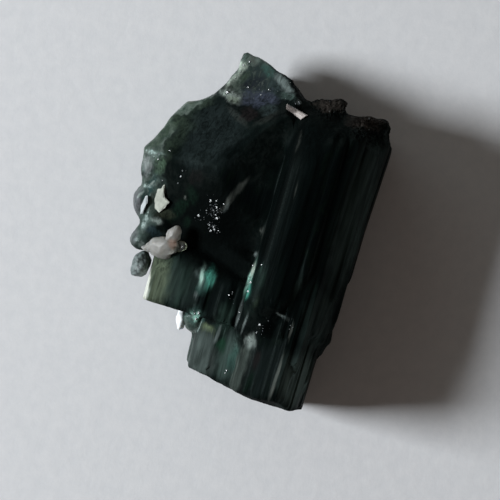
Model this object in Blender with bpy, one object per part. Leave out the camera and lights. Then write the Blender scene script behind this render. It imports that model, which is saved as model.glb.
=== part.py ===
"""A tourmaline crystal: parallel ridged prisms grown together and broken off at both ends, with grains on it.

+Y runs along the prisms, +X to the right and +Z up. The crystal lies on a flat prism face at z = 0.
All sizes are in millimetres. Each mesh is kept in them, and its object's scale turns them into metres.
"""

import math
import random

import bmesh
import bpy
from mathutils import Matrix, Vector, noise

MM = 0.001
SHIFT = (-0.085, 0.08, 0.0)  # brings the middle of the finished crystal over the origin

RIDGE_PITCH = (0.45, 1.15)  # least and most between neighbouring ridges on a prism face
RIDGE_DEPTH = 0.13  # the most that a ridge stands out or in
RISER = 0.12  # width of the small step between two ridges
GRAIN_GAP = 0.3  # clear space round a grain in its socket
BREAK_CELL = 0.9  # spacing of the points on a broken surface
BREAK_THICKNESS = 12.0  # of the block that takes away what has broken off

# The broken outline seen from above, anticlockwise from the foot. It stays clear of the prisms' own faces.
OUTLINE = (
    (-2.5, -12.8), (-1.7, -13.35), (-1.4, -13.85), (-0.3, -14.2), (1.5, -14.5), (3.2, -14.8),
    (5.2, -15.05), (8.4, -15.1), (9.3, -14.9), (11.0, -14.4), (11.2, 10.0), (10.6, 10.5),
    (10.2, 11.65), (9.4, 12.25), (8.0, 12.55), (7.0, 12.05), (6.0, 12.0), (5.4, 12.75),
    (4.6, 13.1), (3.3, 12.7), (2.4, 12.1), (1.9, 12.35), (0.4, 13.55), (-1.0, 14.2),
    (-2.8, 14.65), (-4.3, 15.15), (-4.6, 14.7), (-4.75, 13.2), (-5.25, 11.8), (-6.1, 10.4),
    (-8.25, 9.15), (-9.9, 6.1), (-10.7, 4.05), (-10.35, 1.6), (-9.4, -0.6), (-8.6, -3.0),
    (-8.6, -9.6), (-2.7, -9.9),
)
WALL_STEP = 1.3  # between the points on the broken wall
WALL_ROUGHNESS = 0.75
WALL_WIDEST = 5.4  # the height at which the broken wall stands out most
WALL_DRAW_IN = 0.013  # how fast it draws in above and below

# Each prism's section is its (x, z) corners, anticlockwise with x to the right and z up.
BROAD_PRISM = (
    (-10.9, 5.5), (-9.6, 4.6), (-7.4, 3.1), (-4.4, 1.3),
    (-1.6, 0.5), (3.1, 0.9), (3.2, 11.7), (-10.9, 11.7),
)
LEDGE_PRISM = (
    (-6.6, 3.0), (-4.4, 1.2), (-1.2, 0.6), (2.6, 0.7), (2.8, 9.2),
    (0.4, 9.3), (-2.4, 8.7), (-6.45, 7.35), (-6.75, 7.1), (-7.1, 4.4),
)
FOOT_PRISM = (
    (-0.9, 1.2), (1.4, 0.4), (3.8, 0.45), (3.9, 8.3),
    (1.9, 8.2), (-0.2, 7.4), (-1.55, 6.0), (-1.9, 4.0),
)
BASE_PRISM = ((-1.1, 0.0), (8.3, 0.0), (8.7, 0.8), (8.5, 7.0), (0.5, 6.5), (-1.2, 4.0), (-1.5, 1.1))
SPINE_PRISM = (
    (5.0, 0.6), (8.4, 0.7), (9.3, 2.4), (9.57, 5.4), (9.0, 8.4), (8.0, 10.3),
    (6.9, 11.7), (6.4, 11.7), (6.15, 11.45), (4.0, 10.85), (3.0, 9.6),
)
CENTRE_PRISM = ((2.9, 1.4), (5.6, 1.1), (6.2, 10.6), (4.6, 10.5), (3.0, 10.0), (2.6, 8.8), (2.35, 5.0))
RIDGE_PRISM = (
    (2.6, 1.9), (5.0, 1.6), (6.9, 11.5), (5.4, 12.3), (3.8, 12.5),
    (2.75, 12.2), (2.35, 11.9), (1.95, 10.9), (1.75, 8.6), (2.0, 4.0),
)
OUTER_PRISM = (
    (8.0, 1.0), (9.7, 1.8), (10.35, 3.6), (10.45, 5.7), (9.95, 8.4),
    (8.8, 10.4), (7.4, 11.6), (6.0, 11.9), (5.6, 3.0),
)
# Narrow prisms along the right side: middle (x, z), radius, y from and to.
RIBS = (
    (7.45, 10.85, 0.7, -11.8, 6.5), (9.0, 9.3, 0.75, -5.5, 13.5), (9.7, 7.5, 0.65, -7.4, 3.5),
    (8.65, 7.5, 0.75, -13.4, -3.0), (6.1, 11.6, 0.65, -4.6, 13.5), (9.95, 3.8, 0.65, -3.0, 9.0),
    (0.6, 7.3, 0.65, -13.9, -4.0), (3.7, 9.9, 0.6, -13.2, -6.0),
)


def clear_scene():
    for thing in list(bpy.data.objects):
        bpy.data.objects.remove(thing, do_unlink=True)


def material(name, colour, roughness, alpha=1.0):
    made = bpy.data.materials.new(name)
    made.use_nodes = True
    shader = made.node_tree.nodes["Principled BSDF"]
    shader.inputs["Base Color"].default_value = (*colour, 1.0)
    shader.inputs["Roughness"].default_value = roughness
    shader.inputs["Alpha"].default_value = alpha
    made.diffuse_color = (*colour, alpha)
    return made


def add_object(name, shape, finish=None):
    """Makes an object of a bmesh."""
    bmesh.ops.recalc_face_normals(shape, faces=shape.faces)
    mesh = bpy.data.meshes.new(name)
    shape.to_mesh(mesh)
    shape.free()
    thing = bpy.data.objects.new(name, mesh)
    thing.scale = (MM, MM, MM)
    thing.location = Vector(SHIFT) * MM
    bpy.context.scene.collection.objects.link(thing)
    if finish:
        mesh.materials.append(finish)
    return thing


def boolean(target, operation, other):
    """Joins other to target, cuts it away or keeps what they share. other itself stays out of the model."""
    other.hide_render = True
    other.display_type = "WIRE"
    step = target.modifiers.new(other.name, "BOOLEAN")
    step.operation = operation
    step.solver = "EXACT"
    step.object = other


def turned(degrees_about_xyz):
    matrix = Matrix.Identity(4)
    for axis in "ZYX":
        matrix @= Matrix.Rotation(math.radians(degrees_about_xyz["XYZ".index(axis)]), 4, axis)
    return matrix


def close_sides(shape, first, second):
    """Faces between two loops of equally many points."""
    for here in range(len(first)):
        there = (here + 1) % len(first)
        shape.faces.new((first[here], first[there], second[there], second[here]))


# ---------------------------------------------------------------- prisms


def ridged_side(start, end, ridges):
    """Points from start towards end, stepped in and out as the long ridges of a prism face are."""
    along = end - start
    outward = Vector((along.y, -along.x)).normalized()
    points = [start]
    travelled = ridges.uniform(*RIDGE_PITCH)
    level = 0.0
    while travelled < along.length - RIDGE_PITCH[0]:
        next_level = ridges.uniform(-RIDGE_DEPTH, RIDGE_DEPTH)
        points.append(start + along * (travelled / along.length) + outward * level)
        points.append(start + along * ((travelled + RISER) / along.length) + outward * next_level)
        level = next_level
        travelled += RISER + ridges.uniform(*RIDGE_PITCH)
    return points


def prism(name, section, y_from, y_to, seed, turn=0.0, flat_sides=()):
    """A prism along +Y with ridged sides, apart from flat_sides, which are counted from 0.
    turn, in degrees, swings it a little about a vertical axis through its middle."""
    ridges = random.Random(seed)
    corners = [Vector(corner) for corner in section]
    outline = []
    for side, corner in enumerate(corners):
        following = corners[(side + 1) % len(corners)]
        outline += [corner] if side in flat_sides else ridged_side(corner, following, ridges)
    shape = bmesh.new()
    foot, top = ([shape.verts.new((x, y, z)) for x, z in outline] for y in (y_from, y_to))
    shape.faces.new(foot)
    shape.faces.new(top)
    close_sides(shape, foot, top)
    middle = Vector((sum(x for x, _ in section) / len(section), (y_from + y_to) / 2, 0))
    swing = Matrix.Rotation(math.radians(turn), 4, "Z")
    shape.transform(Matrix.Translation(middle) @ swing @ Matrix.Translation(-middle))
    return add_object(name, shape)


# ---------------------------------------------------------------- breaks


def hackly(seed, height, grain):
    """An uneven break, as a height at (u, v): lumps about grain across."""
    return lambda u, v: height * noise.fractal(Vector((u / grain, v / grain, seed)), 1.0, 2.0, 3)


def shell(sag, radius, ring=0.0, u_from=0.0, v_from=0.0):
    """A shell-shaped break, as a height at (u, v): a smooth hollow, faintly ringed round (u_from, v_from)."""

    def height(u, v):
        rings = ring * math.sin(3.2 * math.hypot(u - u_from, v - v_from) ** 0.8)
        return sag * ((u * u + v * v) / radius**2 - 1) + rings

    return height


def break_block(name, place, facing, heading, width, length, height, cell=BREAK_CELL):
    """The block that a break takes away: all on the facing side of a broken surface through place.
    Its length follows heading, and height gives the surface's relief."""
    across, along = max(2, round(width / cell)), max(2, round(length / cell))
    shape = bmesh.new()
    grid = []
    for row in range(along + 1):
        v = (row / along - 0.5) * length
        places = [(column / across - 0.5) * width for column in range(across + 1)]
        grid.append([shape.verts.new((u, v, height(u, v))) for u in places])
    for near, far in zip(grid, grid[1:]):
        for column in range(across):
            shape.faces.new((near[column], near[column + 1], far[column + 1], far[column]))
    right = [line[-1] for line in grid[1:]]
    left = [line[0] for line in grid[-2:0:-1]]
    rim = grid[0] + right + grid[-1][-2::-1] + left
    lid = [shape.verts.new((point.co.x, point.co.y, BREAK_THICKNESS)) for point in rim]
    close_sides(shape, rim, lid)
    shape.faces.new(lid)
    up = Vector(facing).normalized()
    side = Vector(heading).cross(up).normalized()
    turn = Matrix((side, up.cross(side), up)).transposed().to_4x4()
    shape.transform(Matrix.Translation(Vector(place)) @ turn)
    return add_object(name, shape)


def inward(outline, index):
    """The unit direction into an anticlockwise outline at one of its points."""
    before, after = Vector(outline[index - 1]), Vector(outline[(index + 1) % len(outline)])
    along = (after - before).normalized()
    return Vector((-along.y, along.x))


def divided(outline, step):
    """The outline with points added, so that none of its edges is longer than step."""
    points = []
    for index, corner in enumerate(outline):
        start, end = Vector(corner), Vector(outline[(index + 1) % len(outline)])
        pieces = math.ceil((end - start).length / step)
        points += [start.lerp(end, piece / pieces) for piece in range(pieces)]
    return points


def broken_block():
    """The block that the joined prisms are broken to: the outline, with rough walls."""
    points = divided(OUTLINE, WALL_STEP)
    inwards = [inward(points, index) for index in range(len(points))]
    shape = bmesh.new()
    loops = []
    for level in range(12):
        z = level * WALL_STEP - 0.7
        drawn_in = WALL_DRAW_IN * (z - WALL_WIDEST) ** 2
        loop = []
        for point, into in zip(points, inwards):
            rough = WALL_ROUGHNESS * abs(noise.fractal(Vector((*point * 0.42, z * 0.5)), 1.0, 2.0, 3))
            moved = point + into * (drawn_in + rough)
            loop.append(shape.verts.new((*moved, z)))
        loops.append(loop)
    for lower, upper in zip(loops, loops[1:]):
        close_sides(shape, lower, upper)
    shape.faces.new(loops[0])
    shape.faces.new(loops[-1])
    bmesh.ops.triangulate(shape, faces=shape.faces)
    return add_object("broken block", shape)


# ---------------------------------------------------------------- lumps and grains


def lump(place, radii, seed, corners=26, turn=(0, 0, 0), grow=0.0):
    """A rounded lump with many flat faces. grow makes it larger all round."""
    spread = random.Random(seed)
    shape = bmesh.new()
    for step in range(corners):
        level = 1 - 2 * (step + 0.5) / corners
        angle = step * math.pi * (3 - math.sqrt(5)) + spread.uniform(-0.3, 0.3)
        out = math.sqrt(1 - level * level)
        reach = spread.uniform(0.88, 1.0)
        direction = Vector((out * math.cos(angle), out * math.sin(angle), level))
        point = Vector([radius * part * reach for radius, part in zip(radii, direction)])
        shape.verts.new(point + point.normalized() * grow)
    bmesh.ops.convex_hull(shape, input=shape.verts)
    bmesh.ops.delete(shape, geom=[point for point in shape.verts if not point.link_faces], context="VERTS")
    shape.transform(Matrix.Translation(Vector(place)) @ turned(turn))
    return shape


def flake(place, outline, thickness, turn, grow=0.0):
    """A thin plate with a ragged outline, turned about x, y and z. grow makes it larger all round."""
    shape = bmesh.new()
    half = thickness / 2 + grow
    loops = []
    for level in (-half, half):
        points = [Vector(point) + Vector(point).normalized() * grow for point in outline]
        loops.append([shape.verts.new((point.x, point.y, level)) for point in points])
        shape.faces.new(loops[-1])
    close_sides(shape, *loops)
    shape.transform(Matrix.Translation(Vector(place)) @ turned(turn))
    return shape


def feldspar_body(grow=0.0):
    return lump((-6.4, -4.05, 7.15), (1.6, 1.0, 1.2), 3, corners=30, turn=(0, -32, 16), grow=grow)


def feldspar_knob(grow=0.0):
    return lump((-5.85, -2.75, 7.95), (0.7, 0.9, 0.75), 4, corners=20, turn=(0, -20, -8), grow=grow)


def mica_flake(grow=0.0):
    outline = (
        (0.12, 1.3), (0.3, 0.2), (0.9, -0.1), (0.5, -0.75),
        (0.1, -1.25), (-0.4, -0.95), (-0.6, -0.2), (-0.45, 0.65),
    )
    return flake((-8.0, 0.0, 6.75), outline, 0.42, (12, -26, 0), grow)


def mica_sliver(grow=0.0):
    outline = ((0.1, 1.0), (0.32, 0.3), (0.12, -0.7), (-0.15, -0.95), (-0.3, -0.1), (-0.12, 0.8))
    return flake((-9.3, -1.1, 6.35), outline, 0.4, (10, -40, -6), grow)


def quartz_chip(grow=0.0):
    return lump((1.5, 10.6, 10.3), (1.15, 0.42, 0.5), 8, corners=18, turn=(0, -30, -12), grow=grow)


def grey_grain(grow=0.0):
    return lump((-8.0, -6.15, 4.9), (0.85, 1.35, 1.15), 5, corners=22, turn=(8, 0, -8), grow=grow)


def clear_chip(grow=0.0):
    return lump((-3.15, -9.9, 4.9), (0.36, 1.05, 0.8), 6, corners=16, turn=(0, 0, 13), grow=grow)


# ---------------------------------------------------------------- the crystal


def upper_breaks():
    """The smooth shell-shaped breaks that leave the pointed shard and the broad sloping facet."""
    broad = shell(0.3, 5.0, 0.03, -6, 4)
    inner = shell(0.3, 4.0, 0.03, 4, 5)
    top = shell(0.55, 3.0, 0.03, 2, -4)
    under = shell(0.4, 4.5)
    return (
        break_block("broad facet", (-6.1, 6.3, 8.1), (-0.44, 0.37, 0.82), (0.65, 0.76, 0), 12, 17, broad),
        break_block("inner facet", (-1.0, 6.0, 10.1), (0.16, -0.16, 0.97), (0.1, 1, 0), 11, 12, inner),
        break_block("shard top", (-2.75, 11.3, 7.3), (-0.3, 0.5, 0.81), (0, 1, 0), 13, 9.5, top, 0.75),
        break_block("shard underside", (-3.0, 12.0, 2.3), (-0.05, 0.22, -0.97), (0, 1, 0), 14, 7, under),
    )


def middle_breaks():
    """The uneven breaks below the broad facet, and the one under the ledge."""
    middle = hackly(2.7, 0.35, 1.9)
    step = hackly(4.4, 0.4, 1.5)
    under = shell(0.4, 4.0)
    return (
        break_block("middle break", (-4.6, 0.6, 8.1), (-0.42, -0.42, 0.8), (0.3, 1, 0), 15, 8, middle, 0.75),
        break_block("inner step", (0.6, 0.3, 9.35), (-0.1, -0.5, 0.86), (0.1, 1, 0), 6, 6, step, 0.75),
        break_block("ledge underside", (-4.6, -7.4, 3.6), (-0.25, -0.5, -0.83), (0, 1, 0), 9, 7, under),
    )


def top_breaks():
    """The rough tops of the right-hand prisms."""
    top = hackly(5.2, 0.75, 2.2)
    corner = hackly(9.1, 0.5, 1.7)
    return (
        break_block("rough top", (5.6, 11.6, 9.9), (-0.1, 0.68, 0.72), (0, 1, 0), 13, 6.5, top),
        break_block("rough corner", (9.6, 11.4, 8.0), (0.5, 0.55, 0.67), (0, 1, 0), 6, 6, corner),
    )


def ridge_prism():
    """The highest prism, whose foot is broken off aslant."""
    made = prism("ridge prism", RIDGE_PRISM, -10.3, 14.2, 14, turn=0.5)
    slant = hackly(3.3, 0.5, 1.6)
    block = break_block("ridge foot", (4.1, -8.1, 10.6), (0.5, -0.7, 0.5), (0.6, 0.4, 1), 9, 9, slant)
    boolean(made, "DIFFERENCE", block)
    return made


def outer_prism():
    """The prism that makes the right side, with an uneven foot."""
    made = prism("outer prism", OUTER_PRISM, -10.5, 14.1, 11, turn=-2.0)
    foot = hackly(6.7, 0.8, 2.4)
    block = break_block("outer foot", (9.0, -9.0, 6.5), (0.15, -0.95, 0.25), (0, 0.2, 1), 8, 16, foot)
    boolean(made, "DIFFERENCE", block)
    return made


def rib(number, x, z, radius, y_from, y_to):
    """One of the narrow prisms, with a chipped end."""
    angles = [math.radians(60 * side + 11 * number) for side in range(6)]
    section = [(x + radius * math.cos(angle), z + radius * math.sin(angle)) for angle in angles]
    made = prism(f"rib {number}", section, y_from, y_to, 40 + number, turn=0.3)
    place = (x, y_from + 0.6, z + 0.3)
    uneven = hackly(number, 0.35, 0.9)
    chip = break_block(f"rib chip {number}", place, (0.3, -0.6, 0.7), (1, 0, 0), 3, 4, uneven, 0.6)
    boolean(made, "DIFFERENCE", chip)
    return made


def fused_lumps():
    """Rounded lumps of the same crystal on its sides."""
    return (
        add_object("left lump", lump((-8.75, -0.6, 5.0), (1.9, 2.1, 1.75), 21, 34, (0, 14, 5))),
        add_object("rim lump", lump((-9.6, 2.35, 5.7), (1.15, 1.7, 1.0), 24, turn=(0, -10, -8))),
        add_object("lower lump", lump((-8.1, -3.9, 5.1), (1.5, 1.3, 1.4), 22)),
        add_object("inner lump", lump((-7.5, -2.0, 5.6), (1.6, 1.7, 1.3), 23, turn=(0, 0, 30))),
        add_object("ledge lump", lump((-2.1, -9.5, 5.0), (1.35, 1.4, 1.7), 25, turn=(0, 0, 10))),
        add_object("right lump", lump((9.5, -7.6, 4.6), (1.05, 1.35, 2.0), 26, turn=(0, 0, 4))),
    )


def build_crystal(finish):
    """All the prisms as one solid. The steps run in order: a break cuts only what was joined before it."""
    crystal = prism("tourmaline_crystal", BROAD_PRISM, -0.9, 16.0, 17, turn=-1.0)
    crystal.data.materials.append(finish)
    for block in upper_breaks():
        boolean(crystal, "DIFFERENCE", block)
    boolean(crystal, "UNION", prism("ledge prism", LEDGE_PRISM, -9.1, 6.0, 16))
    for block in middle_breaks():
        boolean(crystal, "DIFFERENCE", block)
    boolean(crystal, "UNION", prism("foot prism", FOOT_PRISM, -15.6, 1.0, 15, turn=2.0))
    boolean(crystal, "UNION", prism("base prism", BASE_PRISM, -15.9, 14.0, 10, flat_sides=(0,)))
    boolean(crystal, "UNION", prism("spine prism", SPINE_PRISM, -16.0, 14.0, 12))
    boolean(crystal, "UNION", prism("centre prism", CENTRE_PRISM, -15.7, 9.0, 13, turn=0.4))
    boolean(crystal, "UNION", outer_prism())
    boolean(crystal, "UNION", ridge_prism())
    for number, sizes in enumerate(RIBS):
        boolean(crystal, "UNION", rib(number, *sizes))
    for block in top_breaks():
        boolean(crystal, "DIFFERENCE", block)
    boolean(crystal, "INTERSECT", broken_block())
    for piece in fused_lumps():
        boolean(crystal, "UNION", piece)
    return crystal


def add_socket(crystal, name, shape):
    boolean(crystal, "DIFFERENCE", add_object(f"{name} socket", shape))


def add_feldspar(crystal, finish):
    """A lump with a knob on it, and their sockets in the crystal."""
    body = add_object("feldspar_lump", feldspar_body(), finish)
    boolean(body, "UNION", add_object("feldspar knob", feldspar_knob()))
    add_socket(crystal, "feldspar body", feldspar_body(GRAIN_GAP))
    add_socket(crystal, "feldspar knob", feldspar_knob(GRAIN_GAP))


def add_grain(crystal, name, grain, finish):
    """A separate grain, and its socket in the crystal."""
    add_object(name, grain(), finish)
    add_socket(crystal, name, grain(GRAIN_GAP))


def build():
    clear_scene()
    crystal = build_crystal(material("tourmaline", (0.012, 0.035, 0.028), 0.12))
    add_feldspar(crystal, material("feldspar", (0.5, 0.45, 0.42), 0.45))
    add_grain(crystal, "mica_flake", mica_flake, material("pale_mica", (0.62, 0.6, 0.54), 0.3))
    add_grain(crystal, "mica_sliver", mica_sliver, material("white_mica", (0.68, 0.7, 0.7), 0.3))
    add_grain(crystal, "quartz_chip", quartz_chip, material("rose_quartz", (0.5, 0.42, 0.41), 0.25))
    add_grain(crystal, "grey_grain", grey_grain, material("grey_grain", (0.09, 0.12, 0.11), 0.3))
    add_grain(crystal, "clear_chip", clear_chip, material("clear_quartz", (0.75, 0.8, 0.82), 0.1, 0.5))


build()
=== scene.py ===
"""The looks of a tourmaline crystal with pale grains on it, lying on a plain pale floor.

The scene is in metres. Places and sizes on the crystal are written in millimetres, from the point that the
crystal's own measures start at, and place() and the skin's own coordinates turn them into the scene's.
"""

import math
import random

import bmesh
import bpy
import numpy as np
from mathutils import Euler, Matrix, Vector, noise


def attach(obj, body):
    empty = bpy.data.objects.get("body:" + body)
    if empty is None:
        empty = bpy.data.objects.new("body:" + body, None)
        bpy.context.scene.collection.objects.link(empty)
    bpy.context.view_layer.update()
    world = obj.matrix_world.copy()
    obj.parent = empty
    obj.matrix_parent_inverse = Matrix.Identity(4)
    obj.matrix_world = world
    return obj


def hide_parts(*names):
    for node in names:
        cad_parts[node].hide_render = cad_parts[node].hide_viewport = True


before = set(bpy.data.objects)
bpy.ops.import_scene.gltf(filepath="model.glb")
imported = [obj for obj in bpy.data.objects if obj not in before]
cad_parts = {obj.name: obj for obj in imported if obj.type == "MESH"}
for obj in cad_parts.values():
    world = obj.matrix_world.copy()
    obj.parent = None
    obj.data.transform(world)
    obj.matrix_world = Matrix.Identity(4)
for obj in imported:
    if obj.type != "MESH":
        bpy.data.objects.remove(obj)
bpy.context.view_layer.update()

MM = 0.001
SHIFT = Vector((-0.085, 0.08, 0.0))  # from the crystal's own start point to the scene's, in millimetres
LEAN = math.radians(16.5)  # the prisms lean this far to the right of upright in the view

NOISE_SEED = 7
noise.seed_set(NOISE_SEED)  # without it, Blender's noise vectors change from run to run

VIEW_CENTRE = Vector((1.06, -2.16, 5.0))
VIEW_DISTANCE = 250.0
LENS, SENSOR = 200.0, 36.0
NEAREST_SEEN = 0.001

# The ways towards the lights: across and up in the view, and above the floor.
KEY_WAY = (-0.86, 0.10, 0.5)
FAR_WALL_WAY = (-0.55, 0.80, 0.38)
ROOM_COLOUR, ROOM_BRIGHTNESS = (1.0, 0.84, 0.74, 1.0), 0.082
FLOOR_HALF = 1.5  # half the floor's width, in metres
VIEW_RIGHT = Vector((math.cos(LEAN), math.sin(LEAN), 0.0))
VIEW_UP = Vector((-math.sin(LEAN), math.cos(LEAN), 0.0))
UP = Vector((0.0, 0.0, 1.0))


def place(point):
    """A point given in millimetres on the crystal, as a place in the scene."""
    return (Vector(point) + SHIFT) * MM


# ------------------------------------------------------------------ camera, lights and floor


def add_camera():
    camera = bpy.data.objects.new("camera", bpy.data.cameras.new("camera"))
    camera.data.lens = LENS
    camera.data.sensor_width = SENSOR
    camera.data.clip_start = NEAREST_SEEN
    camera.location = place(VIEW_CENTRE + UP * VIEW_DISTANCE)
    camera.rotation_euler = (0.0, 0.0, LEAN)
    bpy.context.collection.objects.link(camera)
    bpy.context.scene.camera = camera


def add_soft_light(name, towards, distance, wide, tall, brightness, colour):
    """A light panel that faces the crystal, with its distance and size in metres. brightness is its radiance,
    so it doesn't change with its size."""
    light = bpy.data.lights.new(name, "AREA")
    light.shape = "RECTANGLE"
    light.size, light.size_y = wide, tall
    light.color = colour
    light.energy = brightness * math.pi * wide * tall
    lamp = bpy.data.objects.new(name, light)
    across, up, above = towards
    way = (VIEW_RIGHT * across + VIEW_UP * up + UP * above).normalized()
    lamp.location = place(VIEW_CENTRE) + way * distance
    lamp.rotation_euler = way.to_track_quat("Z", "Y").to_euler()
    bpy.context.collection.objects.link(lamp)


def add_lights():
    add_soft_light("key_window", KEY_WAY, distance=0.6, wide=0.18, tall=0.17, brightness=52.0,
                   colour=(0.94, 0.97, 1.0))
    add_soft_light("far_wall", FAR_WALL_WAY, distance=1.2, wide=0.9, tall=0.9, brightness=0.4,
                   colour=(0.85, 1.0, 0.98))
    world = bpy.data.worlds.new("room")
    world.use_nodes = True
    room = world.node_tree.nodes["Background"]
    room.inputs["Color"].default_value = ROOM_COLOUR
    room.inputs["Strength"].default_value = ROOM_BRIGHTNESS
    bpy.context.scene.world = world
    bpy.context.scene.view_settings.view_transform = "Standard"


def add_floor(finish):
    corners = [(FLOOR_HALF * x, FLOOR_HALF * y, 0) for x, y in ((-1, -1), (1, -1), (1, 1), (-1, 1))]
    mesh = bpy.data.meshes.new("floor")
    mesh.from_pydata(corners, [], [(0, 1, 2, 3)])
    mesh.materials.append(finish)
    floor = bpy.data.objects.new("floor", mesh)
    bpy.context.collection.objects.link(floor)


# ------------------------------------------------------------------ node trees


class Tree:
    """Adds nodes to a tree. An input is given a number, a colour or another node's output."""

    def __init__(self, tree):
        self.tree = tree

    def put(self, socket, value):
        if isinstance(value, bpy.types.NodeSocket):
            self.tree.links.new(value, socket)
        else:
            socket.default_value = value

    def add(self, kind, inputs=None, out=0, **settings):
        node = self.tree.nodes.new(kind)
        for name, value in settings.items():
            setattr(node, name, value)
        for socket, value in (inputs or {}).items():
            self.put(node.inputs[socket], value)
        return node.outputs[out]

    def maths(self, operation, first, second=0.0, third=0.0):
        return self.add("ShaderNodeMath", {0: first, 1: second, 2: third}, operation=operation)

    def times(self, first, second):
        return self.maths("MULTIPLY", first, second)

    def ramp(self, value, low, high, to_low=0.0, to_high=1.0):
        """Goes smoothly from to_low to to_high as value goes from low to high."""
        given = {"Value": value, "From Min": low, "From Max": high, "To Min": to_low, "To Max": to_high}
        return self.add("ShaderNodeMapRange", given, interpolation_type="SMOOTHSTEP")

    def named(self, name, kind="FLOAT"):
        """What a geometry tree reads from its mesh's attribute of this name."""
        return self.add("GeometryNodeInputNamedAttribute", {"Name": name}, data_type=kind)

    def scaled(self, vector, scale):
        return self.add("ShaderNodeVectorMath", {0: vector, 1: scale}, operation="MULTIPLY")

    def noise(self, vector, detail=3.0, roughness=0.55, distortion=0.0, seed=0.0):
        given = {"Vector": vector, "Scale": 1.0, "Detail": detail, "Roughness": roughness,
                 "Distortion": distortion, "W": seed}
        return self.add("ShaderNodeTexNoise", given, noise_dimensions="4D")


class Finish(Tree):
    """A material in the making."""

    def __init__(self, name):
        self.material = bpy.data.materials.new(name)
        self.material.use_nodes = True
        super().__init__(self.material.node_tree)
        self.shader = self.tree.nodes["Principled BSDF"]
        self.where = self.add("ShaderNodeTexCoord", out="Object")

    def set(self, **values):
        """Sets the shader's own sockets, named with _ for a space."""
        for name, value in values.items():
            self.put(self.shader.inputs[name.replace("_", " ")], value)

    def grain(self, across, along=None, **settings):
        """Noise with patches this wide, and this long along the prisms, in millimetres."""
        wide, long = 1 / (across * MM), 1 / ((along or across) * MM)
        return self.noise(self.scaled(self.where, (wide, long, wide)), **settings)

    def mix(self, share, first, second):
        given = {0: share, 6: first, 7: second}
        given = {key: (*value, 1.0) if isinstance(value, tuple) else value for key, value in given.items()}
        return self.add("ShaderNodeMix", given, out=2, data_type="RGBA")

    def mix_values(self, share, first, second):
        return self.add("ShaderNodeMix", {0: share, 2: first, 3: second})

    def attribute(self, name, out="Fac"):
        return self.add("ShaderNodeAttribute", out=out, attribute_name=name)

    def bump(self, height, distance, under=None):
        """A relief of this many millimetres."""
        given = {"Height": height, "Distance": distance * MM}
        if under is not None:
            given["Normal"] = under
        return self.add("ShaderNodeBump", given)

    def absorb(self, colour, density):
        """Tints the light on its way through. The colour and the density per metre are plain values."""
        given = {"Color": (*colour, 1.0), "Density": density}
        volume = self.add("ShaderNodeVolumeAbsorption", given)
        self.put(self.tree.nodes["Material Output"].inputs["Volume"], volume)


# ------------------------------------------------------------------ finishes

SPOT_CORE, SPOT_COVER = 0.3, 0.7  # the full part of a coloured spot's radius, and how much it covers there


def crystal_clouds(f, striated, lines):
    """How much the clouds of other colours cover, and their colour: wispy, and in strands on the prisms."""
    wisps = f.grain(0.5, 0.9, detail=5, roughness=0.7, distortion=1.5, seed=5.0)
    strands = f.grain(0.55, 4.5, detail=4, roughness=0.55, distortion=0.4, seed=5.0)
    in_wisps, in_strands = f.ramp(wisps, 0.25, 0.55, 0.65, 1.0), f.ramp(strands, 0.25, 0.5, 0.8, 1.0)
    streaks = f.maths("SUBTRACT", 1.0, f.times(striated, f.ramp(lines, 0.36, 0.6, 0.2, 0.0)))
    patchy = f.mix_values(striated, in_wisps, in_strands)
    share = f.times(f.attribute("cloudy"), f.times(patchy, streaks))
    in_wisps, in_strands = f.ramp(wisps, 0.3, 0.7, 0.35, 1.7), f.ramp(strands, 0.3, 0.7, 0.5, 1.6)
    uneven = f.mix_values(striated, in_wisps, in_strands)
    return share, f.scaled(f.attribute("tint", out="Color"), uneven)


def crystal_body(f, striated, broken, clear, hairlines, grit):
    """The colour under the clouds: bands on the prisms, brown grit on a break, pale patches in the glass."""
    bands = f.grain(1.3, 16.0, detail=3, roughness=0.6, seed=7.0)
    blotches = f.grain(0.8, 1.6, detail=4, roughness=0.6, distortion=0.6, seed=9.0)
    mottle = f.grain(1.1, 2.0, detail=5, roughness=0.62, seed=1.0)
    patches = f.grain(0.7, 1.0, detail=4, roughness=0.7, distortion=0.8, seed=8.0)
    mottled = f.mix(f.ramp(mottle, 0.35, 0.65), (0.0009, 0.0020, 0.0018), (0.0030, 0.0062, 0.0056))
    banded = f.mix(f.ramp(bands, 0.42, 0.7), (0.0012, 0.0022, 0.0023), (0.0042, 0.0068, 0.0065))
    banded = f.mix(f.ramp(hairlines, 0.55, 0.85, 0.0, 0.3), banded, (0.011, 0.017, 0.015))
    banded = f.mix(f.ramp(blotches, 0.45, 0.7, 0.0, 0.6), banded, (0.0030, 0.0068, 0.0042))
    gritty = f.mix(f.ramp(patches, 0.4, 0.62), (0.0010, 0.0020, 0.0019), (0.0052, 0.0070, 0.0064))
    gritty = f.mix(f.ramp(grit, 0.55, 0.8, 0.0, 0.5), gritty, (0.012, 0.0115, 0.010))
    dark = f.mix(f.times(broken, 0.8), f.mix(striated, mottled, banded), gritty)
    glass = f.mix(f.ramp(patches, 0.38, 0.62), (0.05, 0.09, 0.07), (0.34, 0.42, 0.37))
    return f.mix(f.ramp(clear, 0.6, 1.0), dark, glass)


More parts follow.
